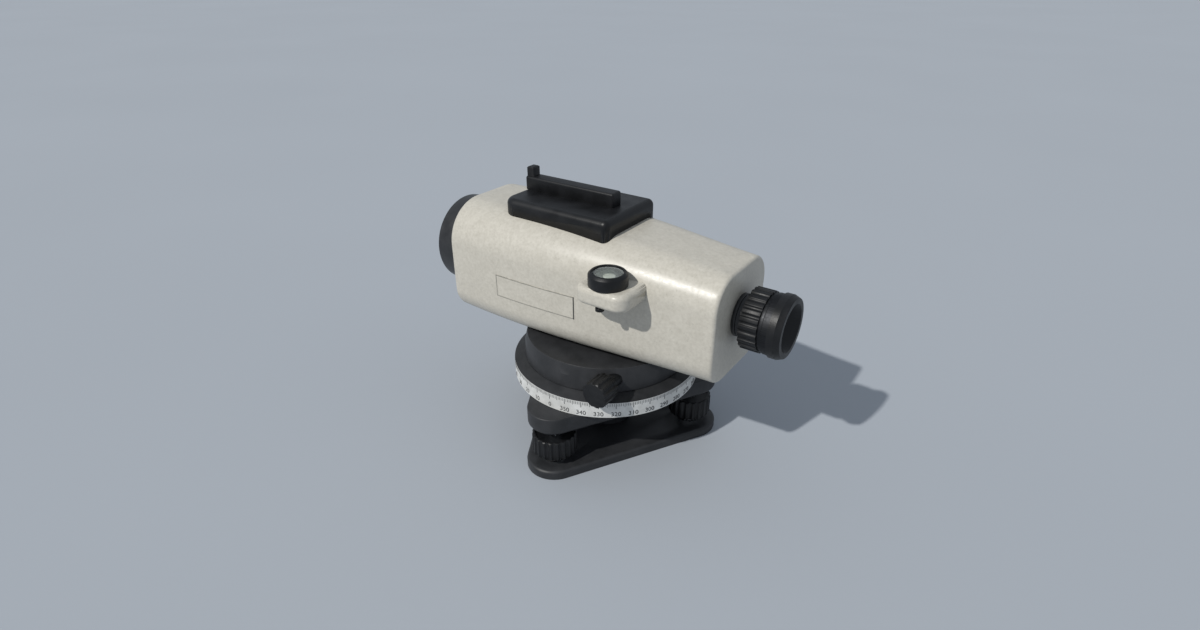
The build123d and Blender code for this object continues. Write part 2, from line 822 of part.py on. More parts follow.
export_step(main_housing.part, "parts/main_housing.step")

# Top cover: a shallow lid that follows the curved top of the body
with BuildPart() as top_cover:
    with BuildSketch(Plane.XY.offset(cover_skirt)) as cover_plan:
        with Locations(((cover_front + cover_back) / 2, 0)):
            Rectangle(cover_back - cover_front, 2 * cover_half)
        fillet(cover_plan.vertices().group_by(Axis.X)[0], cover_front_corner)
        fillet(cover_plan.vertices().group_by(Axis.X)[-1], cover_back_corner)
    extrude(amount=cover_top - cover_skirt)
    fillet(top_cover.faces().sort_by(Axis.Z)[-1].edges(), cover_edge)
    add(body_form.part, mode=Mode.SUBTRACT)
top_cover.part.label = "top_cover"
export_step(top_cover.part, "parts/top_cover.step")

# Sight bar: it stands on the cover, with a square post at the front to aim by
with BuildPart() as sight_bar:
    with BuildSketch(Plane.XY.offset(cover_top)):
        with Locations(((bar_front + bar_back) / 2, 0)):
            RectangleRounded(bar_back - bar_front, 2 * bar_half, bar_corner)
    extrude(amount=bar_height)
    fillet(sight_bar.faces().sort_by(Axis.Z)[-1].edges(), bar_edge)
    with BuildSketch(Plane.XY.offset(bar_top - bar_edge)):
        with Locations((bar_front + bar_edge / 2, 0)):
            Rectangle(post_length, 2 * post_half, align=(Align.MIN, Align.CENTER))
    extrude(amount=post_height + bar_edge)
    chamfer(sight_bar.faces().sort_by(Axis.Z)[-1].edges(), post_edge)
sight_bar.part.label = "sight_bar"
export_step(sight_bar.part, "parts/sight_bar.step")

# Vial bracket: a shelf whose back follows the side of the body
with BuildPart() as vial_bracket:
    with BuildSketch(Plane.XY.offset(bracket_low)) as shelf_plan:
        with Locations((vial_x, (bracket_front + bracket_back) / 2)):
            Rectangle(2 * bracket_half, bracket_back - bracket_front)
        fillet(shelf_plan.vertices().group_by(Axis.Y)[0], bracket_corner)
    extrude(amount=bracket_thick)
    fillet(vial_bracket.faces().sort_by(Axis.Z)[-1].edges(), bracket_edge)
    fillet(vial_bracket.faces().sort_by(Axis.Z)[0].edges(), bracket_edge)
    add(body_form.part, mode=Mode.SUBTRACT)
    with BuildSketch(Plane.XY.offset(bracket_low)):
        with Locations((vial_x, vial_y)):
            with PolarLocations(vial_screw_reach, vial_screw_count, start_angle=first_foot):
                Circle(vial_screw_r + seat_fit)
    extrude(amount=bracket_thick, mode=Mode.SUBTRACT)
vial_bracket.part.label = "vial_bracket"
export_step(vial_bracket.part, "parts/vial_bracket.step")

# Vial cup: the black ring that holds the circular vial
with BuildPart() as vial_cup:
    with BuildSketch(Plane.XY.offset(vial_low)):
        with Locations((vial_x, vial_y)):
            Circle(vial_r)
    extrude(amount=vial_height)
    with BuildSketch(Plane.XY.offset(vial_low + vial_height)):
        with Locations((vial_x, vial_y)):
            Circle(vial_bore_r)
    extrude(amount=-(vial_height - vial_floor), mode=Mode.SUBTRACT)
    chamfer(vial_cup.faces().sort_by(Axis.Z)[-1].outer_wire().edges(), bar_edge)
vial_cup.part.label = "vial_cup"
export_step(vial_cup.part, "parts/vial_cup.step")

# Vial liquid: it fills the cup up to the glass
with BuildPart() as vial_liquid:
    with BuildSketch(Plane.XY.offset(vial_low + vial_floor)):
        with Locations((vial_x, vial_y)):
            Circle(vial_bore_r - seat_fit)
    extrude(amount=vial_height - vial_floor - glass_thick - glass_step)
vial_liquid.part.label = "vial_liquid"
export_step(vial_liquid.part, "parts/vial_liquid.step")

# Vial glass: a disc with a slightly domed top
glass_low = vial_low + vial_height - glass_thick - glass_step
glass_r = vial_bore_r - seat_fit
with BuildPart() as vial_glass:
    with BuildSketch(Plane(origin=(vial_x, vial_y, 0), x_dir=(0, 0, 1), z_dir=(0, 1, 0))):
        with BuildLine():
            glass_top = ThreePointArc(
                *dome_points(glass_low + glass_thick - glass_dome, glass_r, glass_dome)
            )
            Polyline(glass_top @ 1, (glass_low, 0), (glass_low, glass_r), glass_top @ 0)
        make_face()
    revolve(axis=Axis((vial_x, vial_y, 0), (0, 0, 1)))
vial_glass.part.label = "vial_glass"
export_step(vial_glass.part, "parts/vial_glass.step")

# Vial screws: they trim the cup from below
with BuildPart() as vial_screws:
    with BuildSketch(Plane.XY.offset(bracket_low)):
        with Locations((vial_x, vial_y)):
            with PolarLocations(vial_screw_reach, vial_screw_count, start_angle=first_foot):
                Circle(vial_screw_head_r)
    extrude(amount=-vial_screw_head)
    with BuildSketch(Plane.XY.offset(bracket_low)):
        with Locations((vial_x, vial_y)):
            with PolarLocations(vial_screw_reach, vial_screw_count, start_angle=first_foot):
                Circle(vial_screw_r)
    extrude(amount=bracket_thick)
vial_screws.part.label = "vial_screws"
export_step(vial_screws.part, "parts/vial_screws.step")

# Objective barrel: the hood, the lens seat and the spigot that enters the body
with BuildPart() as objective_barrel:
    with BuildSketch(telescope_plane):
        with BuildLine():
            Polyline(
                (barrel_front, hood_r),
                (barrel_front, barrel_r - barrel_edge),
                (barrel_front + barrel_edge, barrel_r),
                (nose_x, barrel_r),
                (nose_x, spigot_r),
                (spigot_back, spigot_r),
                (spigot_back, lens_stop_r),
                (lens_back, lens_stop_r),
                (lens_back, lens_r),
                (barrel_front + hood_depth, lens_r),
                (barrel_front + hood_depth, hood_r),
                close=True,
            )
        make_face()
    revolve(axis=telescope)
objective_barrel.part.label = "objective_barrel"
export_step(objective_barrel.part, "parts/objective_barrel.step")

# Objective lens: thick in the middle, seated against the stop
with BuildPart() as objective_lens:
    with BuildSketch(telescope_plane):
        with BuildLine():
            front_face = ThreePointArc(
                *dome_points(lens_back - lens_edge, lens_r - ring_wall, -lens_bulge)
            )
            Polyline(
                front_face @ 1,
                (lens_back, 0),
                (lens_back, lens_r - seat_fit),
                (lens_back - lens_edge, lens_r - seat_fit),
                front_face @ 0,
            )
        make_face()
    revolve(axis=telescope)
objective_lens.part.label = "objective_lens"
export_step(objective_lens.part, "parts/objective_lens.step")

# Objective ring: it screws in behind the hood and holds the lens
with BuildPart() as objective_ring:
    with BuildSketch(Plane.YZ.offset(lens_back - lens_edge)):
        with Locations((0, sight_z)):
            Circle(lens_r - seat_fit)
            Circle(lens_r - ring_wall, mode=Mode.SUBTRACT)
    extrude(amount=-ring_thick)
objective_ring.part.label = "objective_ring"
export_step(objective_ring.part, "parts/objective_ring.step")

# Guide tube: the focusing cell slides in it, and a slot lets the rack's arm through
with BuildPart() as guide_tube:
    with BuildSketch(Plane.YZ.offset(tube_front)):
        with Locations((0, sight_z)):
            Circle(tube_r)
            Circle(tube_r - tube_wall, mode=Mode.SUBTRACT)
    extrude(amount=tube_back - tube_front)
    with BuildSketch(Plane.XY.offset(rack_top - rack_height - slot_room)):
        with Locations((cell_x, arm_inner)):
            Rectangle(
                arm_length + 2 * (focus_travel + slot_room), tube_r,
                align=(Align.CENTER, Align.MIN),
            )
    extrude(amount=arm_height + 2 * slot_room, mode=Mode.SUBTRACT)
guide_tube.part.label = "guide_tube"
export_step(guide_tube.part, "parts/guide_tube.step")

# Focusing cell: a ring that carries the focusing lens
with BuildPart() as focusing_cell:
    with BuildSketch(Plane.YZ.offset(cell_front)):
        with Locations((0, sight_z)):
            Circle(cell_r)
            Circle(cell_r - cell_wall, mode=Mode.SUBTRACT)
    extrude(amount=cell_length)
focusing_cell.part.label = "focusing_cell"
export_step(focusing_cell.part, "parts/focusing_cell.step")

# Focusing lens: hollow on both faces
focus_lens_r = cell_r - cell_wall - seat_fit
with BuildPart() as focusing_lens:
    with BuildSketch(telescope_plane):
        with BuildLine():
            hollow_front = ThreePointArc(
                *dome_points(cell_x - focus_lens_edge / 2, focus_lens_r, focus_lens_hollow)
            )
            hollow_back = ThreePointArc(
                *dome_points(cell_x + focus_lens_edge / 2, focus_lens_r, -focus_lens_hollow)
            )
            Line(hollow_front @ 1, hollow_back @ 1)
            Line(hollow_back @ 0, hollow_front @ 0)
        make_face()
    revolve(axis=telescope)
focusing_lens.part.label = "focusing_lens"
export_step(focusing_lens.part, "parts/focusing_lens.step")

# Focusing rack: a toothed bar and the arm that joins it to the cell
rack_pitch = 2 * pi * pinion_r / pinion_teeth
with BuildPart() as focusing_rack:
    with BuildSketch(Plane.XY.offset(rack_top - rack_height)):
        with Locations((cell_x, pinion_near)):
            Rectangle(rack_length, pinion_width, align=(Align.CENTER, Align.MIN))
    extrude(amount=rack_height)
    with BuildSketch(Plane.XZ.offset(-pinion_near)):
        with Locations((cell_x, rack_top)):
            with GridLocations(rack_pitch, 1, round(rack_length / rack_pitch) - 1, 1):
                Rectangle(rack_pitch / 2, 2 * rack_tooth_depth)
    extrude(amount=-pinion_width, mode=Mode.SUBTRACT)
    with BuildSketch(Plane.XY.offset(rack_top - rack_height)):
        with Locations((cell_x, arm_inner)):
            Rectangle(arm_length, pinion_near - arm_inner, align=(Align.CENTER, Align.MIN))
    extrude(amount=arm_height)
    with BuildSketch(Plane.YZ.offset(cell_x - arm_length)):
        with Locations((0, sight_z)):
            Circle(cell_r + seat_fit)
    extrude(amount=2 * arm_length, mode=Mode.SUBTRACT)
focusing_rack.part.label = "focusing_rack"
export_step(focusing_rack.part, "parts/focusing_rack.step")

# Focus shaft: it ends in the pinion that drives the rack
with BuildPart() as focus_shaft:
    with BuildSketch(focus_plane):
        with Locations((pinion_near - slot_room, 0)):
            Rectangle(
                focus_bush_outer + gap + focus_knob_length - knob_skin - pinion_near + slot_room,
                focus_shaft_r, align=(Align.MIN, Align.MIN),
            )
    revolve(axis=focus_axis)
    with BuildSketch(Plane.XZ.offset(-pinion_near)):
        with Locations((focus_x, sight_z)):
            Circle(pinion_r)
            with PolarLocations(pinion_r, pinion_teeth):
                Rectangle(2 * pinion_tooth_depth, rack_pitch / 2, mode=Mode.SUBTRACT)
    extrude(amount=-pinion_width)
focus_shaft.part.label = "focus_shaft"
export_step(focus_shaft.part, "parts/focus_shaft.step")

# Focus bush: the shaft's bearing in the side of the body
with BuildPart() as focus_bush:
    with BuildSketch(Plane.XZ.offset(-focus_bush_inner)):
        with Locations((focus_x, sight_z)):
            Circle(focus_bush_r)
            Circle(focus_shaft_r + running_fit, mode=Mode.SUBTRACT)
    extrude(amount=-(focus_bush_outer - focus_bush_inner))
focus_bush.part.label = "focus_bush"
export_step(focus_bush.part, "parts/focus_bush.step")

# Focus knob: the large fluted knob on the far side
focus_knob_plane = Plane(
    origin=(focus_x, focus_bush_outer + gap, sight_z), x_dir=(1, 0, 0), z_dir=(0, 1, 0),
)
with BuildPart() as focus_knob:
    with BuildSketch(focus_knob_plane):
        Circle(focus_knob_r)
    extrude(amount=focus_knob_length)
    chamfer(focus_knob.faces().sort_by(Axis.Y)[-1].edges(), focus_knob_edge)
    with BuildSketch(focus_knob_plane):
        with PolarLocations(focus_knob_r - focus_flute_depth + focus_flute_r, focus_knob_flutes):
            Circle(focus_flute_r)
    extrude(amount=focus_knob_length, mode=Mode.SUBTRACT)
    with BuildSketch(focus_knob_plane):
        Circle(focus_shaft_r + seat_fit)
    extrude(amount=focus_knob_length - knob_skin, mode=Mode.SUBTRACT)
focus_knob.part.label = "focus_knob"
export_step(focus_knob.part, "parts/focus_knob.step")

# Compensator base: a plate on the floor of the body
comp_base_top = floor_z + comp_base_thick
with BuildPart() as compensator_base:
    with BuildSketch(Plane.XY.offset(floor_z)):
        with Locations(((comp_front + comp_back) / 2, 0)):
            RectangleRounded(comp_back - comp_front, 2 * comp_half, bar_corner)
    extrude(amount=comp_base_thick)
compensator_base.part.label = "compensator_base"
export_step(compensator_base.part, "parts/compensator_base.step")

# Prism brackets: two uprights with a window for the line of sight
with BuildPart() as prism_brackets:
    for upright_front in (comp_front, comp_back - bracket_plate):
        with BuildSketch(Plane.YZ.offset(upright_front)):
            with Locations((0, (comp_base_top + bridge_low) / 2)):
                Rectangle(2 * comp_half, bridge_low - comp_base_top)
            with Locations((0, sight_z)):
                Circle(window_r, mode=Mode.SUBTRACT)
        extrude(amount=bracket_plate)
prism_brackets.part.label = "prism_brackets"
export_step(prism_brackets.part, "parts/prism_brackets.step")

# Suspension bridge: it joins the uprights, and the pendulum hangs from it
with BuildPart() as suspension_bridge:
    with BuildSketch(Plane.XY.offset(bridge_low)):
        with Locations(((comp_front + comp_back) / 2, 0)):
            Rectangle(comp_back - comp_front, 2 * bridge_half)
    extrude(amount=bridge_thick)
suspension_bridge.part.label = "suspension_bridge"
export_step(suspension_bridge.part, "parts/suspension_bridge.step")

# Fixed prisms: one on each upright, with their slanted faces towards each other
with BuildPart() as fixed_prisms:
    with BuildSketch(Plane.XZ.offset(-prism_half)):
        with BuildLine():
            Polyline(
                (comp_front + bracket_plate, sight_z - prism_size / 2),
                (comp_front + bracket_plate, sight_z + prism_size / 2),
                (comp_front + bracket_plate + prism_size, sight_z - prism_size / 2),
                close=True,
            )
        make_face()
        with BuildLine():
            Polyline(
                (comp_back - bracket_plate, sight_z - prism_size / 2),
                (comp_back - bracket_plate, sight_z + prism_size / 2),
                (comp_back - bracket_plate - prism_size, sight_z - prism_size / 2),
                close=True,
            )
        make_face()
    extrude(amount=2 * prism_half)
fixed_prisms.part.label = "fixed_prisms"
export_step(fixed_prisms.part, "parts/fixed_prisms.step")

# Pendulum: a clamp for the tapes, a side arm that carries the prism, and the damper's vane
with BuildPart() as pendulum:
    with BuildSketch(Plane.XY.offset(clamp_top)):
        with Locations((pendulum_x, 0)):
            Rectangle(2 * clamp_half_x, 2 * clamp_half_y)
    extrude(amount=-clamp_thick)
    with BuildSketch(Plane.XY.offset(vane_low)):
        with Locations((pendulum_x, arm_side)):
            Rectangle(2 * vane_half_x, arm_plate, align=(Align.CENTER, Align.MIN))
    extrude(amount=clamp_top - clamp_thick - vane_low)
    with BuildSketch(Plane.XY.offset(vane_low)):
        with Locations((pendulum_x, 0)):
            Rectangle(2 * vane_half_x, 2 * (arm_side + arm_plate))
    extrude(amount=vane_thick)
pendulum.part.label = "pendulum"
export_step(pendulum.part, "parts/pendulum.step")

# Pendulum prism: it hangs on the arm between the fixed prisms
with BuildPart() as pendulum_prism:
    with BuildSketch(Plane.XZ.offset(-arm_side)):
        with BuildLine():
            Polyline(
                (pendulum_x - pendulum_prism_half_x, pendulum_prism_low),
                (pendulum_x + pendulum_prism_half_x, pendulum_prism_low),
                (pendulum_x + pendulum_prism_half_x / 2, pendulum_prism_low + pendulum_prism_height),
                (pendulum_x - pendulum_prism_half_x / 2, pendulum_prism_low + pendulum_prism_height),
                close=True,
            )
        make_face()
    extrude(amount=2 * arm_side)
pendulum_prism.part.label = "pendulum_prism"
export_step(pendulum_prism.part, "parts/pendulum_prism.step")

# Suspension tapes: four thin strips between the bridge and the clamp
with BuildPart() as suspension_tapes:
    with BuildSketch(Plane.XY.offset(bridge_low)):
        with Locations((pendulum_x, 0)):
            with GridLocations(2 * tape_spread_x, 2 * tape_spread_y, 2, 2):
                Rectangle(tape_thick, 2 * tape_half)
    extrude(amount=-(bridge_low - clamp_top - gap))
suspension_tapes.part.label = "suspension_tapes"
export_step(suspension_tapes.part, "parts/suspension_tapes.step")

# Damper magnets: they stand on the base under the pendulum's vane
with BuildPart() as damper_magnets:
    with BuildSketch(Plane.XY.offset(comp_base_top)):
        with Locations((pendulum_x, 0)):
            with GridLocations(1, 2 * (magnet_gap + magnet_thick), 1, 2):
                Rectangle(2 * magnet_half_x, magnet_thick)
    extrude(amount=vane_low - magnet_gap / 2 - comp_base_top)
damper_magnets.part.label = "damper_magnets"
export_step(damper_magnets.part, "parts/damper_magnets.step")

# Eyepiece tube: it enters the tail, seats on a flange and ends in a collar
with BuildPart() as eyepiece_tube:
    with BuildSketch(telescope_plane):
        with BuildLine():
            Polyline(
                (ocular_front, ocular_bore),
                (ocular_front, ocular_r),
                (tail_x, ocular_r),
                (tail_x, ocular_flange_r),
                (flange_back, ocular_flange_r),
                (flange_back, ocular_collar_r),
                (ocular_end, ocular_collar_r),
                (ocular_end, ocular_bore),
                close=True,
            )
        make_face()
    revolve(axis=telescope)
eyepiece_tube.part.label = "eyepiece_tube"
export_step(eyepiece_tube.part, "parts/eyepiece_tube.step")

# Reticle cell and the plate that bears the cross lines
with BuildPart() as reticle_cell:
    with BuildSketch(Plane.YZ.offset(reticle_front)):
        with Locations((0, sight_z)):
            Circle(ocular_bore - seat_fit)
            Circle(ocular_bore - reticle_ring, mode=Mode.SUBTRACT)
    extrude(amount=reticle_thick)
reticle_cell.part.label = "reticle_cell"
export_step(reticle_cell.part, "parts/reticle_cell.step")

with BuildPart() as reticle_plate:
    with BuildSketch(Plane.YZ.offset(reticle_front)):
        with Locations((0, sight_z)):
            Circle(ocular_bore - reticle_ring - seat_fit)
    extrude(amount=reticle_thick)
reticle_plate.part.label = "reticle_plate"
export_step(reticle_plate.part, "parts/reticle_plate.step")

# Eyepiece barrel: it slides in the tube and carries the two eyepiece lenses
with BuildPart() as eyepiece_barrel:
    with BuildSketch(Plane.YZ.offset(eye_barrel_front)):
        with Locations((0, sight_z)):
            Circle(eye_barrel_r)
            Circle(eye_barrel_r - eye_barrel_wall, mode=Mode.SUBTRACT)
    extrude(amount=eye_barrel_end - eye_barrel_front)
eyepiece_barrel.part.label = "eyepiece_barrel"
export_step(eyepiece_barrel.part, "parts/eyepiece_barrel.step")

with BuildPart() as eyepiece_lenses:
    for lens_x in (field_lens_x, eye_lens_x):
        with BuildSketch(telescope_plane):
            with BuildLine():
                swell = ThreePointArc(
                    *dome_points(lens_x + eye_lens_thick, eye_lens_r, eye_lens_bulge)
                )
                Polyline(swell @ 1, (lens_x, 0), (lens_x, eye_lens_r), swell @ 0)
            make_face()
        revolve(axis=telescope)
eyepiece_lenses.part.label = "eyepiece_lenses"
export_step(eyepiece_lenses.part, "parts/eyepiece_lenses.step")

# Diopter ring: it is fluted outside and hollow where it passes over the collar
with BuildPart() as diopter_ring:
    with BuildSketch(Plane.YZ.offset(ring_front)):
        with Locations((0, sight_z)):
            Circle(ring_r)
            with PolarLocations(ring_r - ring_flute_depth + ring_flute_r, ring_flutes):
                Circle(ring_flute_r, mode=Mode.SUBTRACT)
    extrude(amount=ring_length)
    with BuildSketch(Plane.YZ.offset(ring_front)):
        with Locations((0, sight_z)):
            Circle(ocular_collar_r + ring_hollow)
    extrude(amount=ring_room, mode=Mode.SUBTRACT)
    with BuildSketch(Plane.YZ.offset(ring_front)):
        with Locations((0, sight_z)):
            Circle(eye_barrel_r + running_fit)
    extrude(amount=ring_length, mode=Mode.SUBTRACT)
diopter_ring.part.label = "diopter_ring"
export_step(diopter_ring.part, "parts/diopter_ring.step")

# Eyepiece band: the smooth ring between the diopter ring and the eyecup
with BuildPart() as eyepiece_band:
    with BuildSketch(Plane.YZ.offset(band_front)):
        with Locations((0, sight_z)):
            Circle(ocular_band_r)
            Circle(eye_barrel_r + running_fit, mode=Mode.SUBTRACT)
    extrude(amount=ocular_band)
eyepiece_band.part.label = "eyepiece_band"
export_step(eyepiece_band.part, "parts/eyepiece_band.step")

# Eyecup: a bevelled ring with a funnel that opens to the eye
with BuildPart() as eyecup:
    with BuildSketch(telescope_plane):
        with BuildLine():
            Polyline(
                (eyecup_front, eye_barrel_r + running_fit),
                (eyecup_front, eyecup_r),
                (eyecup_back - eyecup_bevel, eyecup_r),
                (eyecup_back, eyecup_rim_r),
                (eyecup_back, eyecup_mouth_r),
                (eyecup_front + eyecup_floor, eye_barrel_r + running_fit),
                close=True,
            )
        make_face()
    revolve(axis=telescope)
eyecup.part.label = "eyecup"
export_step(eyecup.part, "parts/eyecup.step")
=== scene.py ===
import json
from math import cos, pi, radians, sin

import bpy
from mathutils import Matrix, Vector


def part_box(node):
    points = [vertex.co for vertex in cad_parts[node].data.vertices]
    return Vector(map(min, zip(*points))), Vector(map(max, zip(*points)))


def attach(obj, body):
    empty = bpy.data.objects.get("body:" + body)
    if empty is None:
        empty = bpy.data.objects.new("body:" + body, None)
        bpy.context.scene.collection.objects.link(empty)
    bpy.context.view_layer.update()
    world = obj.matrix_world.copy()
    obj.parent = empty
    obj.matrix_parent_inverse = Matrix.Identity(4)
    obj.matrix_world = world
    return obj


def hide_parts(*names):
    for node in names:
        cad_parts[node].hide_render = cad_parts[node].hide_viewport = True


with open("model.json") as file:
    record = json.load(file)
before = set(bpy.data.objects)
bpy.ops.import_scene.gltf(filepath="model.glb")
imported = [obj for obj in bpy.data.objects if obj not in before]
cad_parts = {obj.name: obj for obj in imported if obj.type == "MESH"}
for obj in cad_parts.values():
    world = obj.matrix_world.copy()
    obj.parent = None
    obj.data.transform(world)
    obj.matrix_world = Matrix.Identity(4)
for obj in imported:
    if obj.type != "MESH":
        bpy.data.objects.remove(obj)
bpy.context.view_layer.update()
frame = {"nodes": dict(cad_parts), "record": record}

mm = 0.001
scene = bpy.context.scene
nodes = frame["nodes"]
sightZ = (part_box("objective_barrel")[0].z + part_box("objective_barrel")[1].z) / 2
print("frame loaded")


# Small tools for working on a piece as by hand
def deselectAll():
    if bpy.context.mode != "OBJECT":
        bpy.ops.object.mode_set(mode="OBJECT")
    bpy.ops.object.select_all(action="DESELECT")


def takeInHand(piece):
    deselectAll()
    piece.select_set(True)
    bpy.context.view_layer.objects.active = piece


def pickFaces(piece, wanted):
    bpy.ops.object.mode_set(mode="EDIT")
    bpy.ops.mesh.select_mode(type="FACE")
    bpy.ops.mesh.select_all(action="DESELECT")
    bpy.ops.object.mode_set(mode="OBJECT")
    for face in piece.data.polygons:
        face.select = wanted(face)
    bpy.ops.object.mode_set(mode="EDIT")


def joinTogether(pieces):
    deselectAll()
    for piece in pieces:
        piece.select_set(True)
    bpy.context.view_layer.objects.active = pieces[0]
    bpy.ops.object.join()
    return bpy.context.object


def addModifier(piece, kind, **settings):
    modifier = piece.modifiers.new(kind.title(), kind)
    for key, value in settings.items():
        setattr(modifier, key, value)


def applyModifiers(piece):
    takeInHand(piece)
    for modifier in list(piece.modifiers):
        bpy.ops.object.modifier_apply(modifier=modifier.name)


def smoothShade(piece, degreesLimit=35):
    takeInHand(piece)
    bpy.ops.object.shade_smooth_by_angle(angle=radians(degreesLimit))


def fromSightLine(point):
    return (point.y ** 2 + (point.z - sightZ) ** 2) ** 0.5


def paint(piece, material):
    piece.data.materials.clear()
    piece.data.materials.append(material)


def settle(piece, name, body, material):
    piece.name = name
    piece.data.name = name
    paint(piece, material)
    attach(piece, body)


# Building blocks of the materials: noise, and what it drives
noiseLook = {"roughness": 0.55, "distortion": 0.0, "span": (0.3, 0.7)}


def newMaterial(name):
    material = bpy.data.materials.new(name)
    material.use_nodes = True
    return material, material.node_tree.nodes, material.node_tree.links


def noiseAt(shaders, links, scale, detail, stretch=(1, 1, 1)):
    coordinates = shaders.new("ShaderNodeTexCoord")
    mapping = shaders.new("ShaderNodeMapping")
    mapping.inputs["Scale"].default_value = [scale * s for s in stretch]
    links.new(coordinates.outputs["Object"], mapping.inputs["Vector"])
    noise = shaders.new("ShaderNodeTexNoise")
    noise.inputs["Scale"].default_value = 1.0
    noise.inputs["Detail"].default_value = detail
    noise.inputs["Roughness"].default_value = noiseLook["roughness"]
    noise.inputs["Distortion"].default_value = noiseLook["distortion"]
    links.new(mapping.outputs["Vector"], noise.inputs["Vector"])
    return noise.outputs["Fac"]


def rampOn(shaders, links, factor, low, high, lowAt=0.35, highAt=0.65):
    ramp = shaders.new("ShaderNodeValToRGB")
    ramp.color_ramp.elements[0].position = lowAt
    ramp.color_ramp.elements[0].color = (*low, 1)
    ramp.color_ramp.elements[1].position = highAt
    ramp.color_ramp.elements[1].color = (*high, 1)
    links.new(factor, ramp.inputs["Fac"])
    return ramp.outputs["Color"]


def spreadOn(shaders, links, factor, fromLow, fromHigh, toLow, toHigh):
    spread = shaders.new("ShaderNodeMapRange")
    spread.inputs["From Min"].default_value = fromLow
    spread.inputs["From Max"].default_value = fromHigh
    spread.inputs["To Min"].default_value = toLow
    spread.inputs["To Max"].default_value = toHigh
    links.new(factor, spread.inputs["Value"])
    return spread.outputs["Result"]


def rangeOn(shaders, links, noise, low, high):
    return spreadOn(shaders, links, noise, *noiseLook["span"], low, high)


def mixOn(shaders, links, factor, first, second):
    mix = shaders.new("ShaderNodeMix")
    mix.data_type = "RGBA"
    mix.blend_type = "MIX"
    if isinstance(factor, float):
        mix.inputs["Factor"].default_value = factor
    else:
        links.new(factor, mix.inputs["Factor"])
    links.new(first, mix.inputs["A"])
    links.new(second, mix.inputs["B"])
    return mix.outputs["Result"]


def bumpOn(shaders, links, height, strength, distance):
    bump = shaders.new("ShaderNodeBump")
    bump.inputs["Strength"].default_value = strength
    bump.inputs["Distance"].default_value = distance
    links.new(height, bump.inputs["Height"])
    return bump.outputs["Normal"]


# Bright worn edges: the width is in mm, and a share of wear goes with each cosine, flat to sharp
edgeWear = {"samples": 4, "width": 0.4, "cosines": (0.995, 0.86), "shares": (0.0, 0.55)}


def wornEdge(shaders, links):
    bevel = shaders.new("ShaderNodeBevel")
    bevel.samples = edgeWear["samples"]
    bevel.inputs["Radius"].default_value = edgeWear["width"] * mm
    geometry = shaders.new("ShaderNodeNewGeometry")
    dot = shaders.new("ShaderNodeVectorMath")
    dot.operation = "DOT_PRODUCT"
    links.new(bevel.outputs["Normal"], dot.inputs[0])
    links.new(geometry.outputs["Normal"], dot.inputs[1])
    return spreadOn(shaders, links, dot.outputs["Value"], *edgeWear["cosines"], *edgeWear["shares"])


# Each noise has its scale per metre and its detail, and bump depths are in mm
creamPaintLook = {
    "lightTone": (0.60, 0.567, 0.495),
    "darkTone": (0.435, 0.407, 0.345),
    "speckTone": (0.27, 0.255, 0.22),
    "blotchNoise": (210, 5),
    "blotchRamp": (0.30, 0.70),
    "mottleNoise": (620, 3),
    "mottleRamp": (0.30, 0.66),
    "mottleShare": 0.62,
    "speckNoise": (1500, 2),
    "speckRamp": (0.24, 0.40),
    "speckShare": 0.30,
    "roughness": (0.30, 0.42),
    "bump": 0.08,
    "bumpDepth": 0.2,
}


def creamPaint():
    look = creamPaintLook
    material, shaders, links = newMaterial("creamPaint")
    shader = shaders["Principled BSDF"]
    blotch = noiseAt(shaders, links, *look["blotchNoise"])
    mottle = noiseAt(shaders, links, *look["mottleNoise"])
    speck = noiseAt(shaders, links, *look["speckNoise"])
    broad = rampOn(shaders, links, blotch, look["darkTone"], look["lightTone"], *look["blotchRamp"])
    fine = rampOn(shaders, links, mottle, look["darkTone"], look["lightTone"], *look["mottleRamp"])
    tone = mixOn(shaders, links, look["mottleShare"], broad, fine)
    specks = rampOn(shaders, links, speck, look["speckTone"], look["lightTone"], *look["speckRamp"])
    colour = mixOn(shaders, links, look["speckShare"], tone, specks)
    links.new(colour, shader.inputs["Base Color"])
    links.new(rangeOn(shaders, links, mottle, *look["roughness"]), shader.inputs["Roughness"])
    bump = bumpOn(shaders, links, speck, look["bump"], look["bumpDepth"] * mm)
    links.new(bump, shader.inputs["Normal"])
    return material


darkFinishLooks = {
    "blackCasting": {
        "dark": (0.021, 0.022, 0.024),
        "light": (0.033, 0.034, 0.037),
        "worn": (0.075, 0.075, 0.08),
        "grainNoise": (900, 2),
        "cloudNoise": (90, 4),
        "roughness": (0.38, 0.55),
        "shine": 0.35,
        "bump": 0.25,
    },
    "darkAluminium": {
        "dark": (0.013, 0.0135, 0.015),
        "light": (0.024, 0.025, 0.027),
        "worn": (0.085, 0.085, 0.09),
        "grainNoise": (1300, 2),
        "cloudNoise": (150, 4),
        "roughness": (0.34, 0.46),
        "shine": 0.5,
        "bump": 0.12,
    },
    "blackPlastic": {
        "dark": (0.0045, 0.0048, 0.0055),
        "light": (0.0095, 0.010, 0.0115),
        "worn": (0.028, 0.028, 0.030),
        "grainNoise": (1600, 2),
        "cloudNoise": (120, 4),
        "roughness": (0.36, 0.50),
        "shine": 0.35,
        "bump": 0.35,
    },
    "chamberBlack": {
        "dark": (0.006, 0.006, 0.006),
        "light": (0.012, 0.012, 0.012),
        "worn": (0.03, 0.03, 0.03),
        "grainNoise": (1100, 2),
        "cloudNoise": (150, 4),
        "roughness": (0.7, 0.85),
        "shine": 0.15,
        "bump": 0.2,
    },
}
darkGrain = {"wornRamp": (0.2, 0.7), "bumpDepth": 0.15}


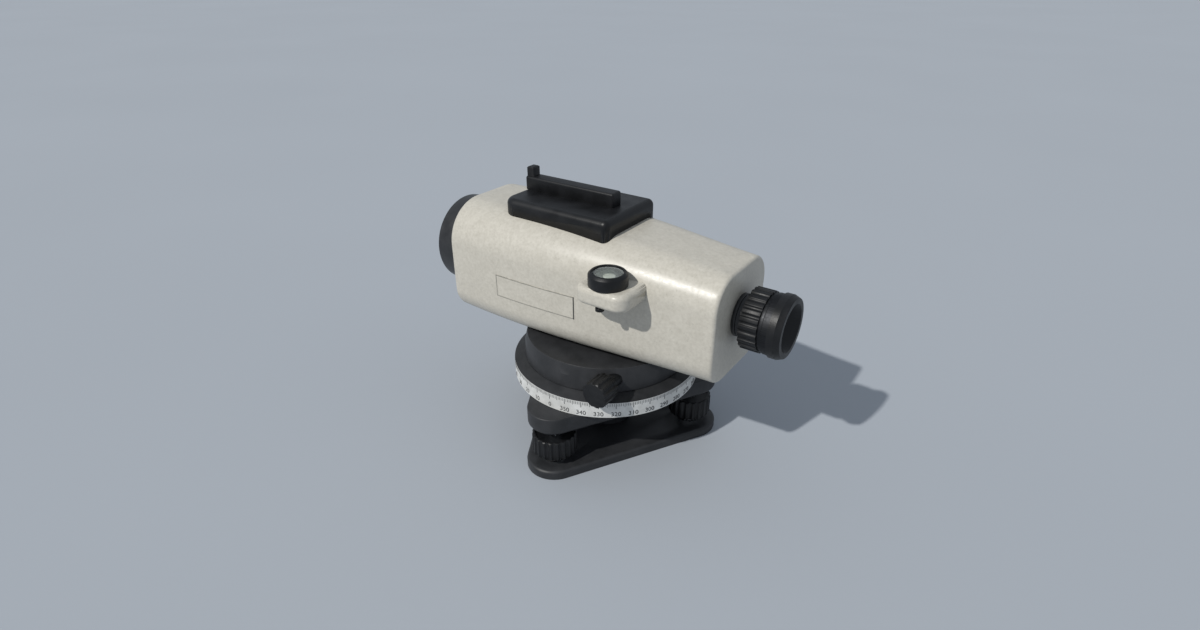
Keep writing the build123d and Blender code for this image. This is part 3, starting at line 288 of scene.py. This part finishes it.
def darkFinish(name):
    look = darkFinishLooks[name]
    material, shaders, links = newMaterial(name)
    shader = shaders["Principled BSDF"]
    cloud = noiseAt(shaders, links, *look["cloudNoise"])
    grain = noiseAt(shaders, links, *look["grainNoise"])
    body = rampOn(shaders, links, cloud, look["dark"], look["light"])
    worn = rampOn(shaders, links, grain, look["light"], look["worn"], *darkGrain["wornRamp"])
    edge = wornEdge(shaders, links)
    links.new(mixOn(shaders, links, edge, body, worn), shader.inputs["Base Color"])
    links.new(rangeOn(shaders, links, cloud, *look["roughness"]), shader.inputs["Roughness"])
    bump = bumpOn(shaders, links, grain, look["bump"], darkGrain["bumpDepth"] * mm)
    links.new(bump, shader.inputs["Normal"])
    shader.inputs["Specular IOR Level"].default_value = look["shine"]
    return material


turnedMetalLooks = {
    "turnedBrass": {
        "dark": (0.42, 0.28, 0.09),
        "light": (0.66, 0.47, 0.18),
        "roughness": (0.24, 0.38),
    },
    "turnedSteel": {
        "dark": (0.36, 0.37, 0.38),
        "light": (0.60, 0.61, 0.62),
        "roughness": (0.22, 0.36),
    },
    "satinGreyRing": {
        "dark": (0.026, 0.027, 0.029),
        "light": (0.042, 0.043, 0.046),
        "roughness": (0.42, 0.55),
    },
    "groundMagnet": {
        "dark": (0.05, 0.05, 0.052),
        "light": (0.09, 0.09, 0.095),
        "roughness": (0.4, 0.5),
    },
}
toolLines = {
    "lineNoise": (90, 3), "lineStretch": (1, 1, 40), "fineNoise": (800, 3),
    "bump": 0.08, "bumpDepth": 0.1,
}


def turnedMetal(name):
    look = turnedMetalLooks[name]
    material, shaders, links = newMaterial(name)
    shader = shaders["Principled BSDF"]
    shader.inputs["Metallic"].default_value = 1.0
    lines = noiseAt(shaders, links, *toolLines["lineNoise"], toolLines["lineStretch"])
    fine = noiseAt(shaders, links, *toolLines["fineNoise"])
    colour = rampOn(shaders, links, lines, look["dark"], look["light"])
    links.new(colour, shader.inputs["Base Color"])
    links.new(rangeOn(shaders, links, fine, *look["roughness"]), shader.inputs["Roughness"])
    bump = bumpOn(shaders, links, lines, toolLines["bump"], toolLines["bumpDepth"] * mm)
    links.new(bump, shader.inputs["Normal"])
    return material


whiteScaleLook = {
    "dark": (0.58, 0.58, 0.56),
    "light": (0.70, 0.70, 0.68),
    "cloudNoise": (200, 4),
    "fineNoise": (1500, 2),
    "roughness": (0.42, 0.58),
    "bump": 0.06,
    "bumpDepth": 0.1,
}


def whiteScale():
    look = whiteScaleLook
    material, shaders, links = newMaterial("whiteScale")
    shader = shaders["Principled BSDF"]
    cloud = noiseAt(shaders, links, *look["cloudNoise"])
    fine = noiseAt(shaders, links, *look["fineNoise"])
    colour = rampOn(shaders, links, cloud, look["dark"], look["light"])
    links.new(colour, shader.inputs["Base Color"])
    links.new(rangeOn(shaders, links, fine, *look["roughness"]), shader.inputs["Roughness"])
    bump = bumpOn(shaders, links, fine, look["bump"], look["bumpDepth"] * mm)
    links.new(bump, shader.inputs["Normal"])
    return material


# Printed marks, the vial's window and its bubble
smoothFinishLooks = {
    "inkMarks": {
        "dark": (0.014, 0.015, 0.017),
        "light": (0.045, 0.046, 0.05),
        "noise": (1200, 2),
        "roughness": (0.5, 0.7),
    },
    "faintLine": {
        "dark": (0.24, 0.23, 0.20),
        "light": (0.34, 0.325, 0.285),
        "noise": (1200, 2),
        "roughness": (0.5, 0.7),
    },
    "thinWindow": {
        "dark": (0.80, 0.85, 0.82),
        "light": (0.88, 0.92, 0.90),
        "noise": (160, 3),
        "roughness": (0.04, 0.10),
        "alpha": 0.16,
    },
    "paleBubble": {
        "dark": (0.30, 0.33, 0.26),
        "light": (0.44, 0.47, 0.40),
        "noise": (300, 3),
        "roughness": (0.15, 0.3),
        "shine": 0.7,
    },
}


def smoothFinish(name):
    look = smoothFinishLooks[name]
    material, shaders, links = newMaterial(name)
    shader = shaders["Principled BSDF"]
    cloud = noiseAt(shaders, links, *look["noise"])
    colour = rampOn(shaders, links, cloud, look["dark"], look["light"])
    links.new(colour, shader.inputs["Base Color"])
    links.new(rangeOn(shaders, links, cloud, *look["roughness"]), shader.inputs["Roughness"])
    if "alpha" in look:
        shader.inputs["Alpha"].default_value = look["alpha"]
    if "shine" in look:
        shader.inputs["Specular IOR Level"].default_value = look["shine"]
    return material


clearGlassLooks = {
    "opticalGlass": {"tint": (0.86, 0.92, 0.96), "roughness": (0.01, 0.04), "transmission": 1.0},
    "vialLiquid": {"tint": (0.115, 0.13, 0.10), "roughness": (0.10, 0.18), "transmission": 0.0},
}
glassSurface = {
    "smearNoise": (160, 3), "darker": 0.92, "ior": 1.46,
    "coatWeight": 0.4, "coatTint": (0.75, 0.82, 1.0, 1),
}


def clearGlass(name):
    look = clearGlassLooks[name]
    material, shaders, links = newMaterial(name)
    shader = shaders["Principled BSDF"]
    smear = noiseAt(shaders, links, *glassSurface["smearNoise"])
    darker = tuple(glassSurface["darker"] * c for c in look["tint"])
    links.new(rampOn(shaders, links, smear, darker, look["tint"]), shader.inputs["Base Color"])
    links.new(rangeOn(shaders, links, smear, *look["roughness"]), shader.inputs["Roughness"])
    shader.inputs["Transmission Weight"].default_value = look["transmission"]
    shader.inputs["IOR"].default_value = glassSurface["ior"]
    shader.inputs["Coat Weight"].default_value = glassSurface["coatWeight"]
    shader.inputs["Coat Tint"].default_value = glassSurface["coatTint"]
    return material


looks = {
    "cream_paint": creamPaint(),
    "black_casting": darkFinish("blackCasting"),
    "dark_aluminium": darkFinish("darkAluminium"),
    "black_plastic": darkFinish("blackPlastic"),
    "black_chamber": darkFinish("chamberBlack"),
    "white_scale": whiteScale(),
    "brass": turnedMetal("turnedBrass"),
    "steel": turnedMetal("turnedSteel"),
    "grey_ring": turnedMetal("satinGreyRing"),
    "magnet": turnedMetal("groundMagnet"),
    "optical_glass": clearGlass("opticalGlass"),
    "vial_liquid": clearGlass("vialLiquid"),
}
ink = smoothFinish("inkMarks")
faintLine = smoothFinish("faintLine")
window = smoothFinish("thinWindow")
print("materials made")


# Every node starts with the finish of its slot, and four take that of the pieces around them
slotOf = {s["node"]: s["material_slot"] for s in frame["record"]["subparts"]}
slotOf["tripod_bush"] = "black_casting"
slotOf["circle_carrier"] = "black_casting"
slotOf["drive_bushes"] = "black_plastic"
slotOf["vial_screws"] = "black_plastic"
bodyOf = {}
for bodyName, members in frame["record"]["behaviour"]["bodies"].items():
    for member in members:
        bodyOf[member] = bodyName
for nodeName, nodeObject in nodes.items():
    paint(nodeObject, looks[slotOf[nodeName]])


# The nodes that show get a merged copy: its name, and the width of its soft edges in mm
shownNodes = {
    "base_plate": ("basePlate", 0.35),
    "tripod_bush": ("tripodBush", 0.3),
    "foot_sockets": ("footSockets", 0.25),
    "tribrach": ("tribrachCasting", 0.6),
    "foot_screw_bushes": ("footScrewBushes", 0.2),
    "circle_carrier": ("circleCarrier", 0.2),
    "circle_band": ("circleBand", 0.0),
    "lower_housing": ("lowerHousing", 0.35),
    "drive_bushes": ("driveBushes", 0.15),
    "main_housing": ("mainHousing", 0.0),
    "top_cover": ("topCover", 0.0),
    "vial_bracket": ("vialBracket", 0.0),
    "vial_cup": ("vialCup", 0.25),
    "vial_screws": ("vialScrews", 0.15),
    "objective_barrel": ("objectiveBarrel", 0.2),
    "objective_ring": ("objectiveRing", 0.15),
    "focus_bush": ("focusBush", 0.2),
    "eyepiece_tube": ("eyepieceTube", 0.2),
    "eyepiece_band": ("eyepieceBand", 0.2),
    "eyecup": ("eyecupRubber", 0.2),
    "axis_nut": ("axisNut", 0.2),
    "diopter_ring": ("diopterRing", 0.25),
    "drive_knob_near": ("driveKnobNear", 0.25),
    "drive_knob_far": ("driveKnobFar", 0.25),
    "focus_knob": ("focusKnob", 0.25),
    "foot_screw_knob_a": ("footScrewKnobA", 0.25),
    "foot_screw_knob_b": ("footScrewKnobB", 0.25),
    "foot_screw_knob_c": ("footScrewKnobC", 0.25),
    "foot_screw_spindle_a": ("footScrewSpindleA", 0.0),
    "foot_screw_spindle_b": ("footScrewSpindleB", 0.0),
    "foot_screw_spindle_c": ("footScrewSpindleC", 0.0),
    "sight_bar": ("sightBar", 0.5),
    "objective_lens": ("objectiveLens", 0.0),
    "vial_glass": ("vialGlass", 0.0),
}
softening = {"mergeWithin": 0.002, "flatDegrees": 0.5, "edgeSteps": 2, "creaseDegrees": 38}
creaseDegrees = {"eyecup": 14, "objective_barrel": 20, "circle_carrier": 12, "lower_housing": 12}


def softenedCopy(nodeName, pieceName, edgeWidth):
    source = nodes[nodeName]
    piece = bpy.data.objects.new(pieceName, source.data.copy())
    scene.collection.objects.link(piece)
    takeInHand(piece)
    bpy.ops.object.mode_set(mode="EDIT")
    bpy.ops.mesh.select_all(action="SELECT")
    bpy.ops.mesh.remove_doubles(threshold=softening["mergeWithin"] * mm)
    bpy.ops.mesh.dissolve_limited(angle_limit=radians(softening["flatDegrees"]))
    bpy.ops.object.mode_set(mode="OBJECT")
    if edgeWidth:
        addModifier(
            piece, "BEVEL", width=edgeWidth * mm, segments=softening["edgeSteps"],
            limit_method="ANGLE", angle_limit=radians(softening["creaseDegrees"]),
            use_clamp_overlap=True, harden_normals=False,
        )
        applyModifiers(piece)
    smoothShade(piece, creaseDegrees.get(nodeName, softening["creaseDegrees"]))
    settle(piece, pieceName, bodyOf[nodeName], looks[slotOf[nodeName]])
    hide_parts(nodeName)
    return piece


shown = {}
for nodeName, (pieceName, edgeWidth) in shownNodes.items():
    shown[nodeName] = softenedCopy(nodeName, pieceName, edgeWidth)
paint(shown["vial_glass"], window)
print("shown nodes softened")


# The eyecup's grey shoulder steps in and has the finish of the band before it
# A point or a face counts as outside beyond its share of the cup's radius
eyecupShoulder = {"end": 101.3, "step": 0.25, "radius": 15.7, "pointShare": 0.9, "faceShare": 0.8}


def stepEyecup():
    shoulder = eyecupShoulder
    piece = shown["eyecup"]
    low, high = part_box("eyecup")
    outer = (high.z - low.z) / 2
    takeInHand(piece)
    for place in (shoulder["end"] - shoulder["step"], shoulder["end"]):
        bpy.ops.object.mode_set(mode="EDIT")
        bpy.ops.mesh.select_all(action="SELECT")
        bpy.ops.mesh.bisect(plane_co=(place * mm, 0, 0), plane_no=(1, 0, 0))
        bpy.ops.object.mode_set(mode="OBJECT")
    stepPlace = (shoulder["end"] - shoulder["step"] / 2) * mm
    shrink = shoulder["radius"] * mm / outer
    for point in piece.data.vertices:
        if point.co.x < stepPlace and fromSightLine(point.co) > shoulder["pointShare"] * outer:
            point.co.y *= shrink
            point.co.z = sightZ + (point.co.z - sightZ) * shrink
    piece.data.materials.append(looks["grey_ring"])
    for face in piece.data.polygons:
        if face.center.x < stepPlace and fromSightLine(face.center) > shoulder["faceShare"] * outer:
            face.material_index = 1
    smoothShade(piece, creaseDegrees["eyecup"])


stepEyecup()
print("eyecup stepped")


# Degree marks on the band: a tick for each degree and a number for each ten
degreeMarks = {
    "smallTick": 1.7,
    "middleTick": 2.4,
    "middleStep": 5,
    "longTick": 3.3,
    "tickWidth": 0.22,
    "boldTickWidth": 0.32,
    "tickThick": 0.06,
    "topMargin": 0.35,
    "numberHeight": 2.7,
    "numberMargin": 0.9,
    "numberStep": 10,
    "fontSizeToHeight": 1.38,
    "curveSteps": 3,
}
bandLow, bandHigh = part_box("circle_band")


def placeOnBand(piece, degree, height):
    turn = -pi / 2 - radians(degree)
    place = Vector((bandHigh.x * cos(turn), bandHigh.x * sin(turn), height))
    piece.data.transform(Matrix.Translation(place) @ Matrix.Rotation(turn, 4, "Z"))


def makeDegreeTicks():
    marks = degreeMarks
    ticks = []
    for degree in range(360):
        length = marks["smallTick"]
        width = marks["tickWidth"]
        if degree % marks["middleStep"] == 0:
            length = marks["middleTick"]
        if degree % marks["numberStep"] == 0:
            length = marks["longTick"]
            width = marks["boldTickWidth"]
        deselectAll()
        bpy.ops.mesh.primitive_cube_add(size=1)
        tick = bpy.context.object
        thick = 2 * marks["tickThick"] * mm
        tick.data.transform(Matrix.Diagonal((thick, width * mm, length * mm, 1)))
        placeOnBand(tick, degree, bandHigh.z - marks["topMargin"] * mm - length * mm / 2)
        ticks.append(tick)
    settle(joinTogether(ticks), "degreeTicks", "horizontal_circle", ink)


def makeDegreeNumbers():
    marks = degreeMarks
    upright = Matrix(((0, 0, 1, 0), (1, 0, 0, 0), (0, 1, 0, 0), (0, 0, 0, 1)))
    numbers = []
    for degree in range(0, 360, marks["numberStep"]):
        deselectAll()
        bpy.ops.object.text_add()
        words = bpy.context.object
        words.data.body = str(degree)
        words.data.size = marks["numberHeight"] * mm * marks["fontSizeToHeight"]
        words.data.align_x = "CENTER"
        words.data.extrude = marks["tickThick"] * mm
        words.data.resolution_u = marks["curveSteps"]
        takeInHand(words)
        bpy.ops.object.convert(target="MESH")
        words = bpy.context.object
        words.data.transform(upright)
        placeOnBand(words, degree, bandLow.z + marks["numberMargin"] * mm)
        numbers.append(words)
    settle(joinTogether(numbers), "degreeNumbers", "horizontal_circle", ink)


makeDegreeTicks()
makeDegreeNumbers()
print("degrees marked")


# The bubble under the vial's glass, a little off the middle
bubble = {
    "radius": 3.1, "thick": 0.9, "offset": (1.4, -1.0), "rise": 0.02,
    "segments": 40, "rings": 20,
}


def makeBubble():
    low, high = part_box("vial_liquid")
    centre = (low + high) / 2
    deselectAll()
    bpy.ops.mesh.primitive_uv_sphere_add(
        segments=bubble["segments"], ring_count=bubble["rings"], radius=bubble["radius"] * mm,
    )
    piece = bpy.context.object
    flat = bubble["thick"] / bubble["radius"] / 2
    piece.data.transform(Matrix.Diagonal((1, 1, flat, 1)))
    across, along = bubble["offset"]
    top = Vector((centre.x + across * mm, centre.y + along * mm, high.z + bubble["rise"] * mm))
    piece.data.transform(Matrix.Translation(top))
    smoothShade(piece)
    settle(piece, "levelBubble", "upper_part", smoothFinish("paleBubble"))


makeBubble()
print("bubble made")


# A bare thin plate on the side, with a fine border line and a dark end, drawn on to the curved body
sidePlate = {
    "front": -49.0, "back": 3.7, "low": 86.9, "high": 99.8, "proud": 0.08,
    "acrossParts": 105, "upParts": 26, "startAt": -60,
    "borderProud": 0.12, "borderWidth": 0.5, "endProud": 0.15,
}


def layOnSide(name, proud, keepFace, material):
    plate = sidePlate
    deselectAll()
    bpy.ops.mesh.primitive_grid_add(
        x_subdivisions=plate["acrossParts"], y_subdivisions=plate["upParts"], size=1,
    )
    piece = bpy.context.object
    width = (plate["back"] - plate["front"]) * mm
    height = (plate["high"] - plate["low"]) * mm
    piece.data.transform(Matrix.Diagonal((width, height, 1, 1)))
    pickFaces(piece, lambda face: not keepFace(face.center, width / 2, height / 2))
    bpy.ops.mesh.delete(type="FACE")
    bpy.ops.object.mode_set(mode="OBJECT")
    place = Vector((
        (plate["front"] + plate["back"]) / 2 * mm,
        plate["startAt"] * mm,
        (plate["low"] + plate["high"]) / 2 * mm,
    ))
    piece.data.transform(Matrix.Translation(place) @ Matrix.Rotation(pi / 2, 4, "X"))
    addModifier(
        piece, "SHRINKWRAP", target=shown["main_housing"], wrap_method="PROJECT",
        use_project_y=True, use_positive_direction=True, use_negative_direction=False,
        offset=proud * mm,
    )
    applyModifiers(piece)
    addModifier(piece, "SOLIDIFY", thickness=2 * proud * mm, offset=0)
    applyModifiers(piece)
    smoothShade(piece)
    settle(piece, name, "upper_part", material)


def onEnd(centre, halfWidth, halfHeight):
    return centre.x > halfWidth - sidePlate["borderWidth"] * mm


def onBorder(centre, halfWidth, halfHeight):
    border = sidePlate["borderWidth"] * mm
    return abs(centre.x) > halfWidth - border or abs(centre.y) > halfHeight - border


layOnSide("sidePlate", sidePlate["proud"], lambda *place: True, looks["cream_paint"])
layOnSide("sidePlateBorder", sidePlate["borderProud"], onBorder, faintLine)
layOnSide("sidePlateEnd", sidePlate["endProud"], onEnd, ink)
print("side plate made")


# Stage, light and camera
stageLook = {
    "floorTone": (0.40, 0.43, 0.47), "lighter": 1.02, "cloudNoise": (2, 2),
    "roughness": 0.9, "shine": 0.1, "floorSize": 30.0,
}


def makeFloor():
    deselectAll()
    bpy.ops.mesh.primitive_plane_add(size=stageLook["floorSize"])
    floor = bpy.context.object
    floor.name = "floor"
    material, shaders, links = newMaterial("paleFloor")
    shader = shaders["Principled BSDF"]
    cloud = noiseAt(shaders, links, *stageLook["cloudNoise"])
    tone = stageLook["floorTone"]
    lighter = tuple(stageLook["lighter"] * c for c in tone)
    links.new(rampOn(shaders, links, cloud, tone, lighter), shader.inputs["Base Color"])
    shader.inputs["Roughness"].default_value = stageLook["roughness"]
    shader.inputs["Specular IOR Level"].default_value = stageLook["shine"]
    floor.data.materials.append(material)


light = {
    "keyTravel": (0.19, 0.72, -0.67),
    "keyStrength": 2.55,
    "keyAngle": 1.2,
    "keyTone": (1.0, 0.98, 0.94),
    "skyTone": (0.62, 0.68, 0.76),
    "skyStrength": 0.60,
}


def makeLight():
    deselectAll()
    bpy.ops.object.light_add(type="SUN")
    key = bpy.context.object
    key.name = "keyLight"
    key.data.energy = light["keyStrength"]
    key.data.angle = radians(light["keyAngle"])
    key.data.color = light["keyTone"]
    key.rotation_euler = Vector(light["keyTravel"]).to_track_quat("-Z", "Y").to_euler()
    world = bpy.data.worlds.new("studio")
    scene.world = world
    world.use_nodes = True
    background = world.node_tree.nodes["Background"]
    background.inputs["Color"].default_value = (*light["skyTone"], 1)
    background.inputs["Strength"].default_value = light["skyStrength"]


view = {
    "stand": (194.45, -284.90, 256.08),
    "target": (-3.08, -2.15, 72.75),
    "lens": 20.265,
    "sensor": 36.0,
    "nearest": 10,
}


def makeCamera():
    deselectAll()
    bpy.ops.object.camera_add()
    camera = bpy.context.object
    camera.name = "mainCamera"
    stand = Vector(view["stand"]) * mm
    target = Vector(view["target"]) * mm
    camera.location = stand
    camera.rotation_euler = (target - stand).to_track_quat("-Z", "Y").to_euler()
    camera.data.lens = view["lens"]
    camera.data.sensor_width = view["sensor"]
    camera.data.sensor_fit = "HORIZONTAL"
    camera.data.clip_start = view["nearest"] * mm
    scene.camera = camera


makeFloor()
makeLight()
makeCamera()
scene.view_settings.view_transform = "Standard"
print("stage, light and camera set")
